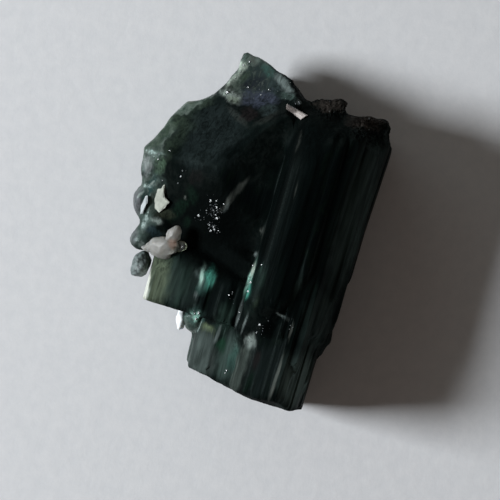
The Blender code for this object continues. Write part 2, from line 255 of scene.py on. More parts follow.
def tourmaline_finish():
    """Nearly black green crystal with growth lines along the prisms. Attributes say where it is striated,
    broken or clear glass, where a cloud in it shows another colour, and how its colour is scaled: painted
    shade on the spine's left faces, where the key light falls, and painted light on its right ones, in shade."""
    f = Finish("green_tourmaline")
    striated = f.attribute("striated")
    broken = f.attribute("broken")
    clear = f.attribute("clear")
    lines = f.grain(0.32, 20.0, detail=4, roughness=0.6)
    hairlines = f.grain(0.12, 14.0, detail=2, roughness=0.5, seed=3.0)
    grit = f.grain(0.16, detail=3, roughness=0.6, seed=2.0)

    share, tint = crystal_clouds(f, striated, lines)
    body = crystal_body(f, striated, broken, clear, hairlines, grit)
    # depth paints shade and light: the spine's faces that look left, where the key light falls, are painted
    # darker, and those that look right, in shade, paler
    depth = f.attribute("depth")
    painted_shade_and_light_xyz = f.add("ShaderNodeCombineXYZ", {0: depth, 1: depth, 2: depth})
    f.set(Base_Color=f.scaled(f.mix(share, body, tint), painted_shade_and_light_xyz))
    f.set(Transmission_Weight=f.times(clear, f.maths("MULTIPLY_ADD", share, -0.85, 0.97)))
    gloss = f.maths("MULTIPLY_ADD", striated, 0.14, f.ramp(grit, 0.3, 0.75, 0.26, 0.42))
    gloss = f.mix_values(broken, gloss, 0.75)
    f.set(Roughness=f.mix_values(clear, gloss, 0.36), IOR=1.63)
    f.set(Specular_IOR_Level=0.02, Specular_Tint=(0.72, 1.0, 0.94, 1.0))
    f.set(Coat_Weight=f.times(clear, 0.08), Coat_Roughness=0.22, Coat_IOR=1.5)

    relief = f.bump(f.times(lines, striated), 0.003)
    relief = f.bump(f.times(hairlines, striated), 0.001, relief)
    f.set(Normal=f.bump(grit, 0.003, relief))
    f.absorb((0.16, 0.36, 0.31), 700.0)
    return f.material


def grain_finish(name, light, dark, roughness, patch, subsurface=0.0, through=0.0, spot=None):
    """An opaque or milky grain: a light and a dark colour in cloudy patches, with specks and a broken gloss.
    through is the share of the light that goes through it. A spot is a centre, a radius and its colour."""
    f = Finish(name)
    cloud = f.grain(patch, detail=5, roughness=0.6)
    speck = f.grain(patch / 7, detail=3, roughness=0.6, seed=4.0)
    pale = f.maths("ADD", f.ramp(cloud, 0.36, 0.64), f.attribute("pale"))
    colour = f.mix(pale, dark, light)
    colour = f.mix(f.ramp(speck, 0.6, 0.78, 0.0, 0.5), colour, dark)
    if spot:
        centre, radius, spot_colour = spot
        ends = {0: f.where, 1: place(centre)}
        away = f.add("ShaderNodeVectorMath", ends, out="Value", operation="DISTANCE")
        cover = f.ramp(away, SPOT_CORE * radius * MM, radius * MM, SPOT_COVER, 0.0)
        colour = f.mix(cover, colour, spot_colour)
    f.set(Base_Color=colour)
    f.set(Roughness=f.ramp(speck, 0.3, 0.7, roughness - 0.12, roughness + 0.15), IOR=1.54)
    f.set(Normal=f.bump(speck, 0.012, f.bump(cloud, 0.05)))
    f.set(Subsurface_Weight=subsurface, Subsurface_Scale=1.5 * MM, Subsurface_Radius=(1.0, 0.95, 0.88))
    f.set(Transmission_Weight=through)
    return f.material


def glass_finish(name, colour, roughness, absorbed, density):
    """A clear grain with a few cloudy threads in it."""
    f = Finish(name)
    cloud = f.grain(0.7, detail=5, roughness=0.65)
    speck = f.grain(0.12, detail=2, seed=5.0)
    milky = f.ramp(cloud, 0.5, 0.7)
    f.set(Base_Color=f.mix(milky, colour, (0.8, 0.84, 0.84)))
    f.set(Transmission_Weight=f.maths("MULTIPLY_ADD", milky, -0.5, 0.96), IOR=1.54)
    f.set(Roughness=f.ramp(speck, 0.3, 0.7, roughness, roughness + 0.15))
    f.set(Normal=f.bump(speck, 0.01))
    f.absorb(absorbed, density)
    return f.material


def pearly_finish(name, light, dark):
    """Pearly flakes and chips: two pale colours in cloudy patches, and a gloss that differs by sheet."""
    f = Finish(name)
    cloud = f.grain(0.9, detail=4)
    sheet = f.grain(0.35, 1.4, detail=3, seed=6.0)
    f.set(Base_Color=f.mix(f.ramp(cloud, 0.35, 0.65), dark, light))
    f.set(Roughness=f.ramp(sheet, 0.3, 0.7, 0.4, 0.65), IOR=1.58, Specular_IOR_Level=0.15)
    f.set(Normal=f.bump(sheet, 0.015))
    f.set(Subsurface_Weight=0.25, Subsurface_Scale=0.3 * MM, Subsurface_Radius=(1.0, 0.95, 0.9))
    return f.material


def floor_finish():
    f = Finish("pale_floor")
    fibre = f.grain(1.2, detail=6, roughness=0.65)
    f.set(Base_Color=f.mix(f.ramp(fibre, 0.3, 0.7), (0.74, 0.755, 0.775), (0.79, 0.80, 0.815)))
    f.set(Roughness=0.9, Normal=f.bump(fibre, 0.03))
    return f.material


# ------------------------------------------------------------------ the crystal's skin

SAME_POINT = 0.0002  # points nearer than this, in millimetres, are one
EDGE_ACROSS, EDGE_ALONG, EDGE_BROKEN = 0.13, 0.8, 0.2  # the longest edges of its triangles, in millimetres
UNDERSIDE_FACING, UNDERSIDE_COARSER = -0.3, 1.8
PRISM_FACE_LEAN = 0.12  # a face that leans less than this from the prisms' direction carries growth lines
POLISHED_FACING = Vector((-0.44, 0.37, 0.82)).normalized()
POLISHED_COSINE = 0.985
CREASE = math.radians(27)
FINER_RIDGES = (2.3, 0.5, 2.3)  # how much finer the waves between ridges are, across, along and up
FINER_GRIT = (2.6, 2.6, 2.6)  # how much finer the grit is than the shells
FLAT_WITHIN = math.radians(0.4)
BREAK_SOFTENING = 80
KIND_FADE = 4  # how far, in steps, growth lines and breaks fade into each other
SOFTENING_STEP = 0.7  # how far a softened point goes towards its neighbours' middle in one step
POLISHED_UNBROKEN = 0.85  # how much of its break the polished facet loses
FLOOR_FADE = (0.05, 0.5)  # heights over which growth lines and breaks begin above the rest face
CREASE_WEAR = 30  # how far, in steps, the wear reaches past the edge of the break
WEAR_GAIN = 1.3  # how many times over the wear counts, until it is full
SMOOTH_BREAK = ((-3.6, 0.8, 8.0), (9.0, 9.0, 9.0), 0)  # the break in the middle is worn in full
LEAST_WORN = 0.12  # the part of the wear that is left outside it
OVAL_CORE = 0.45  # the part of an oval's half sizes within which it counts in full
CLOUD_RAGGEDNESS = ((0.9, 0.38), (0.33, 0.22))  # sizes and depths of the bays in the clouds' edges
# Places that are worn further: centre, half sizes, turn, and in how many steps.
WORN_PLACES = (
    ((3.3, -8.4, 11.0), (2.4, 2.0, 4.0), 0, 160),
    ((-9.2, -2.8, 4.5), (1.6, 1.5, 6.0), 0, 60),
    ((-5.4, 4.0, 7.5), (3.2, 1.9, 6.0), 0, 200),
    ((3.6, -11.6, 9.0), (4.6, 2.7, 6.0), 0, 40),
    ((4.6, 1.5, 9.5), (4.6, 11.5, 8.0), 0, 30),
    ((3.2, 8.6, 11.0), (2.6, 2.4, 6.0), 0, 150),
    ((-4.4, -6.3, 7.0), (3.0, 2.0, 5.0), 0, 80),
    ((8.9, 0.0, 7.5), (2.2, 11.0, 8.0), 0, 25),
    ((6.0, 4.8, 11.0), (0.9, 6.5, 5.0), 0, 60),
    ((2.7, 2.5, 10.0), (1.0, 6.0, 5.0), 0, 40),
)
# Places that are fuller: centre, half sizes, turn, and how far they are pushed out.
FULLER_PLACES = (
    ((-8.9, -2.75, 4.5), (1.4, 1.2, 6.0), 0, (-0.6, 0.0, 0.1)),
    ((-9.0, -4.0, 4.5), (1.3, 1.2, 6.0), 0, (-0.25, -0.05, 0.0)),
    ((4.9, 12.7, 10.0), (0.95, 0.95, 6.0), 0, (0.35, 0.3, 0.0)),
    ((9.5, 12.0, 8.5), (1.2, 1.0, 7.0), 0, (0.25, 0.3, 0.0)),
)
# Where the prisms' tops are broken off roughly, and how many times rougher they are.
ROUGH_TOPS = (((4.2, 12.4, 10.0), (2.6, 1.8, 5.0), 0), ((8.4, 11.0, 9.0), (2.8, 1.9, 5.0), -20))
ROUGHER = 3.6
TOPS_UNWORN = 0.85  # how much of the wear they are spared
SPINE_FROM, SPINE_RISE = 2.2, 1.1  # x where the spine begins at its lower end, and how gently
SPINE_WIDER, SPINE_WIDENS = 0.9, (-3.5, -1.5)  # how much sooner it begins further up, and between which y
# How much darker the spine's colour is painted on faces that look left, where the key light falls, and how
# much paler on faces that look right, which are in shade: painted shade and light. And how far aside they
# look for it.
LEFT_PAINTED_DARKER, LEFT_FACING = 0.6, (0.05, 0.7)
RIGHT_PAINTED_PALER, RIGHT_FACING = 1.6, (0.1, 0.9)

SLATE_GREEN = (0.0076, 0.0113, 0.0113)
SLATE_LIGHT = (0.034, 0.050, 0.046)
BLACK_GREEN = (0.0013, 0.0024, 0.0024)
PITCH = (0.0007, 0.0011, 0.0011)
BROWN_BLACK = (0.0105, 0.0085, 0.0088)
UMBER = (0.0270, 0.0228, 0.0200)
FOREST = (0.0035, 0.0100, 0.0062)
LEAF_GREEN = (0.008, 0.034, 0.018)
MOSS = (0.040, 0.060, 0.040)
OLIVE = (0.064, 0.082, 0.055)
DEEP_OLIVE = (0.0125, 0.0235, 0.019)
DARK_BOTTLE = (0.017, 0.030, 0.025)
BOTTLE_GREEN = (0.032, 0.050, 0.044)
GREY_GREEN = (0.042, 0.055, 0.051)
GREY_GREEN_LIGHT = (0.066, 0.084, 0.074)
SMOKE = (0.070, 0.078, 0.070)
ASH = (0.13, 0.16, 0.155)
LAVENDER_GREY = (0.19, 0.2, 0.205)
WHITISH_GREEN = (0.46, 0.54, 0.46)
BONE = (0.74, 0.77, 0.68)
YELLOW_GREEN = (0.13, 0.17, 0.095)
GREY_PATCH = (0.23, 0.275, 0.25)
PALE_GREY = (0.24, 0.29, 0.27)
LAVENDER_DIM = (0.113, 0.118, 0.127)
DIM_GREEN = (0.024, 0.038, 0.033)
DEEP_SLATE = (0.012, 0.021, 0.024)
DEEP_TEAL = (0.014, 0.036, 0.035)
OLIVE_BROWN = (0.026, 0.030, 0.020)
SEA_GREEN = (0.045, 0.075, 0.050)
RIGHT_FACE_GREEN = (0.012, 0.019, 0.0175)
COLUMN_GREEN = (0.046, 0.098, 0.074)
VIOLET = (0.036, 0.042, 0.062)
SHARD_SLATE = (0.0165, 0.0245, 0.0245)
DUSK = (0.0085, 0.0100, 0.0145)
GREY_SLATE = (0.018, 0.026, 0.026)
TEAL = (0.030, 0.075, 0.062)
TURQUOISE = (0.11, 0.44, 0.34)
BRIGHT_TURQUOISE = (0.36, 0.66, 0.56)
WHITISH_TURQUOISE = (0.28, 0.44, 0.38)
DULL_TEAL = (0.028, 0.058, 0.050)
PALE_TURQUOISE = (0.20, 0.36, 0.30)

# Coloured clouds: centre, half sizes across, along and up, degrees turned towards +x, colour and amount.
CLOUDS = (
    # the broad polished facet, slate green with a painted sheen, its dark border, and the moss green rim with
    # a yellow-green corner
    ((-4.6, 6.6, 7.0), (4.8, 4.4, 5.0), 40, SLATE_GREEN, 1.0),
    ((-5.9, 4.3, 7.5), (2.2, 1.5, 5.0), 38, SLATE_GREEN, 0.95),
    ((-2.7, 6.1, 9.0), (0.6, 4.2, 5.0), 38, BLACK_GREEN, 0.9),
    ((-5.2, 2.6, 7.5), (1.0, 0.8, 5.0), 38, BROWN_BLACK, 0.6),
    ((-8.87, 2.9, 6.5), (0.75, 1.6, 4.0), -10, SEA_GREEN, 0.9),
    ((-8.9, 5.4, 5.5), (2.2, 4.4, 5.0), 22, MOSS, 0.35),
    ((-9.5, 5.6, 5.5), (1.0, 4.2, 5.0), 22, MOSS, 0.8),
    ((-7.5, 9.0, 6.0), (0.8, 2.4, 4.0), 60, MOSS, 0.6),
    ((-7.9, 9.1, 6.5), (0.4, 0.6, 3.0), 70, YELLOW_GREEN, 0.7),
    ((-9.9, 2.5, 5.8), (0.7, 1.8, 2.5), -10, LAVENDER_GREY, 0.8),
    # the pointed shard: whitish along its left edge, violet across the middle, grey along its right edge
    ((-2.4, 12.6, 6.5), (3.4, 3.0, 4.0), 20, SHARD_SLATE, 1.0),
    ((-4.1, 12.1, 6.5), (0.5, 1.8, 3.0), 28, MOSS, 0.6),
    ((-1.9, 13.7, 6.5), (0.7, 1.0, 3.0), -60, TEAL, 0.5),
    ((-0.2, 12.9, 7.5), (0.6, 1.8, 4.0), -55, ASH, 0.7),
    ((-3.6, 14.4, 6.5), (0.5, 1.0, 3.0), -50, SMOKE, 0.9),
    ((-4.55, 12.5, 6.0), (0.36, 2.0, 4.0), 23, WHITISH_GREEN, 0.7),
    ((-4.4, 13.55, 6.5), (0.6, 0.75, 3.0), 23, WHITISH_GREEN, 0.95),
    ((-2.95, 12.15, 7.0), (0.9, 1.7, 3.0), 74, DUSK, 0.75),
    ((-2.2, 11.0, 7.5), (1.05, 2.6, 4.0), 76, VIOLET, 0.8),
    ((0.5, 11.9, 8.0), (0.9, 0.6, 3.0), 0, BOTTLE_GREEN, 0.8),
    # a painted glint on the shard's right edge
    ((1.45, 11.6, 8.5), (0.35, 0.35, 2.0), 0, ASH, 0.7),
    ((-4.6, 10.6, 7.5), (0.8, 1.5, 4.0), -80, GREY_PATCH, 0.9),
    ((-4.2, 10.3, 7.5), (0.35, 0.8, 4.0), -85, YELLOW_GREEN, 0.3),
    # the lighter lines round the shard's foot, and the brownish triangle between them
    ((-2.5, 9.4, 8.5), (1.0, 0.9, 3.0), -16, BROWN_BLACK, 0.8),
    ((-0.9, 10.35, 8.5), (1.1, 0.8, 3.0), -16, GREY_SLATE, 0.8),
    ((-3.4, 8.9, 8.5), (0.36, 1.9, 4.0), -64, SMOKE, 0.16),
    ((-0.9, 9.35, 9.5), (0.32, 1.8, 4.0), 43, SMOKE, 0.11),
    # the ledge: olive with a bright left rim, darker to the right, and two turquoise bars in a teal glow,
    # which are painted light reflected inside it
    ((-4.9, -6.9, 6.0), (3.2, 3.4, 5.0), 0, DEEP_OLIVE, 1.0),
    ((-6.6, -7.2, 6.0), (2.4, 3.6, 6.0), -8, OLIVE, 1.0),
    ((-4.6, -7.0, 6.5), (0.9, 2.8, 6.0), -4, DIM_GREEN, 0.6),
    ((-6.95, -7.7, 6.5), (0.34, 2.2, 4.0), -8, BONE, 1.0),
    ((0.2, -5.9, 8.5), (1.3, 2.6, 4.0), -4, BLACK_GREEN, 0.9),
    # painted light: a teal glow and two turquoise bars, light reflected inside the crystal
    ((-2.0, -5.5, 8.5), (1.0, 2.3, 3.0), -3, TEAL, 0.6),
    ((-2.4, -5.3, 8.5), (0.34, 1.5, 4.5), -5, WHITISH_TURQUOISE, 1.0),
    ((-1.64, -5.1, 8.5), (0.62, 1.75, 4.5), -3, TURQUOISE, 1.0),
    ((-2.43, -7.26, 8.0), (0.25, 0.4, 2.5), 0, ASH, 0.4),
    # the column's bright edge, with its glints painted in, and what is below it
    ((0.6, -8.6, 8.0), (1.0, 2.2, 4.0), -4, DEEP_OLIVE, 1.0),
    ((2.7, -5.4, 9.8), (1.0, 3.2, 3.0), 0, DARK_BOTTLE, 0.9),
    ((2.8, -4.1, 9.8), (0.8, 1.8, 4.0), 0, COLUMN_GREEN, 0.85),
    ((2.9, -6.3, 9.8), (0.65, 1.1, 4.0), 0, MOSS, 0.6),
    ((5.95, -3.6, 11.0), (0.3, 2.0, 4.0), 0, BOTTLE_GREEN, 0.22),
    # painted glints: the key light along the column's left edge and light reflected inside it, in pale
    # turquoise, whitish and grey strokes
    ((1.78, -4.4, 9.3), (0.26, 2.3, 3.0), 2, PALE_TURQUOISE, 1.0),
    ((2.0, -5.7, 9.5), (0.34, 0.9, 3.0), 0, TURQUOISE, 0.6),
    ((1.8, -3.7, 9.8), (0.2, 0.9, 3.0), 0, WHITISH_GREEN, 0.9),
    ((2.5, -3.5, 9.8), (0.18, 1.0, 4.0), 0, PALE_TURQUOISE, 0.6),
    ((3.0, -3.5, 9.8), (0.15, 0.6, 4.0), 0, PALE_TURQUOISE, 0.6),
    ((1.75, -7.6, 9.5), (0.17, 1.9, 4.0), 0, ASH, 0.8),
    ((2.45, -8.5, 10.0), (0.14, 1.3, 4.0), 3, ASH, 0.55),
    ((-2.0, -9.3, 6.5), (1.3, 1.2, 6.0), -40, DULL_TEAL, 0.9),
    # painted glints of light reflected inside the small turquoise lump
    ((-2.1, -9.25, 8.0), (0.24, 0.7, 4.0), -36, PALE_TURQUOISE, 1.0),
    ((-1.76, -9.2, 8.0), (0.28, 0.75, 4.0), 7, BRIGHT_TURQUOISE, 1.0),
    ((-2.1, -10.3, 7.5), (0.7, 0.5, 5.0), 0, DIM_GREEN, 0.8),
    ((-0.6, -9.85, 7.5), (0.5, 0.9, 4.0), -77, YELLOW_GREEN, 0.5),
    ((-0.5, -12.4, 6.0), (2.2, 2.9, 5.0), -7, GREY_GREEN, 1.0),
    ((1.9, -11.9, 8.0), (1.4, 2.9, 6.0), -4, BOTTLE_GREEN, 0.9),
    ((1.1, -11.0, 7.5), (0.6, 0.9, 4.0), 0, LEAF_GREEN, 0.8),
    ((2.3, -11.9, 8.5), (0.6, 1.5, 4.0), 0, TEAL, 0.5),
    ((0.42, -10.2, 7.5), (0.2, 1.2, 3.0), 4, ASH, 0.6),
    ((4.9, -12.4, 9.5), (1.5, 3.4, 4.0), 3, SLATE_GREEN, 0.8),
    ((4.6, -8.4, 10.5), (1.1, 1.2, 3.0), 0, PITCH, 1.0),
    ((5.35, -11.9, 10.0), (0.9, 2.4, 4.0), 3, BLACK_GREEN, 0.5),
    # a painted glint: the light band, where narrow faces catch the key light
    ((3.2, -12.4, 9.5), (0.75, 3.3, 4.0), 3, GREY_GREEN_LIGHT, 1.0),
    ((4.25, -11.3, 9.8), (0.5, 1.3, 4.0), 2, BROWN_BLACK, 0.8),
    ((4.2, -13.4, 9.8), (0.5, 1.6, 4.0), 2, FOREST, 0.7),
    # a painted glint: the light band's bright top end
    ((3.35, -9.85, 10.3), (0.7, 0.85, 4.0), -8, PALE_GREY, 0.85),
    # painted light on the step's edge, which is in shade, and a painted glint along the light line down the
    # lower end
    ((5.6, -6.92, 11.0), (0.15, 1.05, 4.0), -78, ASH, 0.9),
    ((6.52, -7.9, 11.0), (0.16, 0.9, 4.0), 0, SMOKE, 0.9),
    ((6.43, -12.2, 11.3), (0.2, 2.7, 4.0), 1, SMOKE, 1.0),
    ((7.9, -11.8, 9.0), (2.2, 3.6, 5.0), -5, SLATE_LIGHT, 1.0),
    # the spine: black on its left face, green on its right, two light lines that are painted glints of the
    # key light, umber where its tops are broken
    ((3.3, 1.7, 11.0), (2.8, 10.0, 5.0), 0, BLACK_GREEN, 1.0),
    ((3.4, 7.0, 11.0), (2.2, 4.5, 5.0), 0, BLACK_GREEN, 1.0),
    ((8.9, 3.5, 8.5), (1.9, 10.0, 6.0), 0, RIGHT_FACE_GREEN, 0.85),
    ((8.3, -6.5, 9.5), (1.8, 4.0, 6.0), 0, RIGHT_FACE_GREEN, 0.7),
    # painted glints: two light lines where the spine's ridge catches the key light
    ((2.45, 8.1, 10.5), (0.16, 1.4, 3.0), 0, SMOKE, 0.5),
    ((3.4, 4.0, 10.5), (0.14, 1.2, 3.0), 0, SMOKE, 0.5),
    ((4.2, 12.4, 10.0), (1.9, 1.1, 4.0), -16, UMBER, 0.9),
    ((7.9, 11.7, 10.0), (2.4, 1.0, 4.0), -20, UMBER, 0.9),
    # the middle: black, with a grey streak and green spots, and the lumps on the left
    ((-2.9, -0.9, 8.0), (5.0, 5.4, 6.0), 0, PITCH, 1.0),
    ((-1.1, -2.6, 8.5), (3.6, 3.6, 6.0), 0, PITCH, 1.0),
    ((-1.65, 2.2, 8.7), (0.34, 2.4, 4.0), 22, SMOKE, 0.6),
    ((-2.0, 0.9, 8.7), (0.2, 0.7, 3.0), 14, ASH, 0.25),
    ((-6.0, -0.2, 7.0), (0.8, 1.3, 3.0), 20, FOREST, 0.9),
    ((-6.7, -1.2, 7.0), (0.9, 0.8, 3.0), 0, FOREST, 0.7),
    ((-5.3, 1.1, 7.5), (0.6, 1.2, 3.0), -30, FOREST, 0.6),
    ((-5.1, -1.4, 7.5), (0.5, 0.7, 3.0), 0, FOREST, 0.5),
    ((-9.0, -1.6, 5.5), (1.8, 4.8, 6.0), 0, DIM_GREEN, 0.9),
    ((-9.95, -1.3, 5.0), (0.8, 2.4, 5.0), 3, LAVENDER_DIM, 1.0),
    ((-9.15, 0.6, 5.5), (0.55, 1.8, 6.0), 15, DEEP_TEAL, 1.0),
    # painted highlights: two small bright streaks on the lumps
    ((-9.08, 1.05, 6.0), (0.14, 0.5, 4.0), 30, PALE_GREY, 0.9),
    ((-9.72, -0.15, 6.0), (0.14, 0.6, 4.0), 30, PALE_GREY, 0.8),
    ((-7.2, -1.3, 6.5), (1.2, 0.6, 5.0), -10, OLIVE_BROWN, 0.7),
    ((-7.65, -3.1, 6.5), (1.1, 0.6, 5.0), 0, DEEP_SLATE, 1.0),
    ((-9.25, -3.9, 6.0), (0.4, 0.9, 4.0), 0, LAVENDER_DIM, 0.9),
    ((-8.3, -4.4, 6.0), (0.6, 0.35, 4.0), 30, PALE_GREY, 0.5),
    # a painted highlight: the bright arc of a glassy bump
    ((-7.65, -2.05, 6.8), (0.7, 0.42, 3.0), 0, PALE_GREY, 0.8),
    ((-7.75, -2.35, 6.8), (0.32, 0.3, 3.0), 0, BOTTLE_GREEN, 0.8),
    ((-5.79, 0.69, 7.2), (0.14, 0.26, 4.0), -16, SMOKE, 0.8),
    ((1.55, -0.2, 9.0), (0.35, 0.3, 2.0), 0, SMOKE, 0.6),
    ((1.69, -2.36, 9.0), (0.25, 0.25, 2.0), 0, ASH, 0.6),
)

# Where light gets through: centre, half sizes, degrees turned towards +x, and how clear.
CLEAR_GLASS = (
    ((-9.8, 4.6, 5.0), (1.7, 4.8, 7.0), 14, 1.0),
    ((-8.1, 8.9, 5.0), (1.2, 4.2, 7.0), 50, 1.0),
    ((-9.3, -1.2, 5.0), (2.1, 5.2, 7.0), 0, 1.0),
    ((-3.4, 13.0, 6.0), (3.2, 3.4, 7.0), 20, 1.0),
    ((-7.1, -7.6, 5.0), (1.0, 2.8, 6.0), -5, 0.9),
    ((-2.0, -5.4, 8.5), (1.2, 1.6, 2.5), 0, 0.6),
    ((-2.0, -9.9, 5.0), (1.4, 1.6, 4.0), 0, 0.95),
    ((-1.9, -12.6, 5.0), (1.3, 2.8, 6.0), -7, 0.8),
)


def merged_copy(node, in_millimetres=False):
    """A CAD node's mesh with its loose triangles joined."""
    shape = bmesh.new()
    shape.from_mesh(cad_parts[node].data)
    bmesh.ops.remove_doubles(shape, verts=shape.verts, dist=SAME_POINT * MM)
    if in_millimetres:
        bmesh.ops.scale(shape, vec=(1 / MM, 1 / MM, 1 / MM), verts=shape.verts)
    return shape


def write_values(mesh, name, values):
    """Writes a number on each vertex, for the finishes and the geometry trees to read."""
    mesh.attributes.new(name, "FLOAT", "POINT").data.foreach_set("value", values)


def is_prism_face(normals):
    return np.abs(normals[:, 1]) < PRISM_FACE_LEAN


def edge_stretch(normals):
    """How much an edge of each triangle counts along x, y and z. One that counts for over 1 is too long."""
    stretch = np.full((len(normals), 3), 1.0 / EDGE_BROKEN)
    stretch[is_prism_face(normals)] = (1.0 / EDGE_ACROSS, 1.0 / EDGE_ALONG, 1.0 / EDGE_ACROSS)
    stretch[normals[:, 2] < UNDERSIDE_FACING] /= UNDERSIDE_COARSER
    return stretch


def refine(points, triangles, normals):
    """Halves the longest edges until none is too long. Triangles on the prisms stay long and narrow."""
    while True:
        pairs = np.sort(np.stack((triangles, np.roll(triangles, -1, axis=1)), axis=2), axis=2)
        edges, edge_of = np.unique(pairs.reshape(-1, 2), axis=0, return_inverse=True)
        edge_of = edge_of.reshape(-1, 3)
        runs = points[pairs[:, :, 0]] - points[pairs[:, :, 1]]
        counted = np.linalg.norm(runs * edge_stretch(normals)[:, None, :], axis=2)
        longest = counted.argmax(axis=1)
        rows = np.arange(len(triangles))
        halved = np.zeros(len(edges), bool)
        halved[edge_of[rows, longest][counted[rows, longest] > 1.0]] = True
        if not halved.any():
            return points, triangles, normals
        middle = np.full(len(edges), -1)
        middle[halved] = len(points) + np.arange(halved.sum())
        points = np.vstack((points, points[edges[halved]].mean(axis=1)))

        # Each triangle is turned so that its longest halved edge comes first, and is cut there first.
        first = np.where(halved[edge_of], counted, -1.0).argmax(axis=1)
        turn = (first[:, None] + np.arange(3)) % 3
        a, b, c = triangles[rows[:, None], turn].T
        ab, bc, ca = middle[edge_of[rows[:, None], turn]].T
        cut, side_cut, back_cut = ab >= 0, bc >= 0, ca >= 0
        parts = (
            (~cut, a, b, c),
            (cut & ~side_cut, ab, b, c), (cut & side_cut, ab, b, bc), (cut & side_cut, ab, bc, c),
            (cut & ~back_cut, a, ab, c), (cut & back_cut, a, ab, ca), (cut & back_cut, ca, ab, c),
        )
        triangles = np.vstack([np.column_stack(corners)[mask] for mask, *corners in parts])
        normals = np.vstack([normals[mask] for mask, *_ in parts])


def smoothstep(low, high, values):
    share = np.clip((values - low) / (high - low), 0.0, 1.0)
    return share * share * (3.0 - 2.0 * share)


def soften(points, triangles, weights, rounds):
    """Draws each point towards the middle of its neighbours, as far as its weight from 0 to 1 lets it."""
    near = triangles.ravel()
    far = np.roll(triangles, -1, axis=1).ravel()
    uses = np.bincount(near, minlength=len(points)) + np.bincount(far, minlength=len(points))
    for _ in range(rounds):
        middle = np.empty_like(points)
        for axis, values in enumerate(points.T):
            total = np.bincount(near, values[far], len(points)) + np.bincount(far, values[near], len(points))
            middle[:, axis] = total / uses
        points = points + (middle - points) * SOFTENING_STEP * weights[:, None]
    return points


def shared_out(count, triangles, values):
    """The mean over each vertex's triangles of a value that each triangle has."""
    total, uses = np.zeros(count), np.zeros(count)
    for corner in triangles.T:
        np.add.at(total, corner, values)
        np.add.at(uses, corner, 1.0)
    return total / uses


def surface_kinds(points, triangles, normals):
    """How striated and how broken the crystal is at each point, from 0 to 1. Its rest face is neither."""
    striated = shared_out(len(points), triangles, is_prism_face(normals))
    polished = shared_out(len(points), triangles, normals @ np.array(POLISHED_FACING) > POLISHED_COSINE)
    broken = np.clip(1.0 - striated - POLISHED_UNBROKEN * polished, 0.0, 1.0)
    off_floor = smoothstep(*FLOOR_FADE, points[:, 2])
    return striated * off_floor, broken * off_floor


def inside(points, centre, half, turn):
    """How far inside a turned oval each point is, from 0 at its edge and outside to 1 in its middle."""
    from_centre = (points - np.array(centre)) @ np.array(Matrix.Rotation(math.radians(-turn), 3, "Z"))
    return smoothstep(1.0, OVAL_CORE, np.sqrt(((from_centre / np.array(half)) ** 2).sum(axis=1)))


def raggedness(points):
    """How far noise pushes each point about, so that an oval read there has bays in its edge."""
    push = np.zeros_like(points)
    for size, depth in CLOUD_RAGGEDNESS:
        push += depth * np.array([noise.noise_vector(spot) for spot in points / size])
    return push


def painted_shade_and_light(mesh, points):
    """How many times as bright the colour is painted: darker on the spine's left faces, where the key light
    falls, and paler on its right ones, in shade. This is painted shade and light that evens out its shading.
    """
    facing = np.empty(len(points) * 3)
    mesh.vertices.foreach_get("normal", facing)
    across = facing.reshape(-1, 3)[:, 0]
    start = SPINE_FROM - SPINE_WIDER * smoothstep(*SPINE_WIDENS, points[:, 1])
    on_spine = smoothstep(0.0, SPINE_RISE, points[:, 0] - start)
    painted_darker = 1.0 - LEFT_PAINTED_DARKER * smoothstep(*LEFT_FACING, -across)
    paler = 1.0 + RIGHT_PAINTED_PALER * smoothstep(*RIGHT_FACING, across)
    return 1.0 + on_spine * (painted_darker * paler - 1.0)


def mark_skin(mesh, points, striated, broken):
    """Writes on each vertex how striated, broken, clear and cloudy it is, and the cloud's colour."""
    # painted shade and light on the spine, by which way its faces look
    write_values(mesh, "depth", painted_shade_and_light(mesh, points))
    push = raggedness(points)
    cloudy, clear = np.zeros(len(points)), np.zeros(len(points))
    tint = np.tile(np.array(SLATE_GREEN), (len(points), 1))
    for centre, half, turn, colour, amount in CLOUDS:
        share = amount * inside(points + push * min(half[0], 1.0), centre, half, turn)
        tint += (np.array(colour) - tint) * (share / np.maximum(share + cloudy * (1 - share), 1e-6))[:, None]
        cloudy = np.maximum(cloudy, share)
    for centre, half, turn, amount in CLEAR_GLASS:
        clear = np.maximum(clear, amount * inside(points + push, centre, half, turn))
    for name, values in (("striated", striated), ("broken", broken), ("cloudy", cloudy), ("clear", clear)):
        write_values(mesh, name, values)
    mesh.attributes.new("tint", "FLOAT_VECTOR", "POINT").data.foreach_set("vector", tint.ravel())


def geometry_tree(name, sizes):
    """A geometry tree with a named input for each size, its sockets by name, and their identifiers."""
    group = bpy.data.node_groups.new(name, "GeometryNodeTree")
    group.interface.new_socket("Geometry", in_out="INPUT", socket_type="NodeSocketGeometry")
    group.interface.new_socket("Geometry", in_out="OUTPUT", socket_type="NodeSocketGeometry")
    idents = {}
    for size, kind in sizes.items():
        idents[size] = group.interface.new_socket(size, in_out="INPUT", socket_type=kind).identifier
    tree = Tree(group)
    given = group.nodes.new("NodeGroupInput")
    return tree, {socket.name: socket for socket in given.outputs if socket.name}, idents


def end_tree(tree, geometry, finish):
    realized = tree.add("GeometryNodeRealizeInstances", {0: geometry})
    shown = tree.add("GeometryNodeSetMaterial", {0: realized, "Material": finish})
    tree.put(tree.tree.nodes.new("NodeGroupOutput").inputs[0], shown)


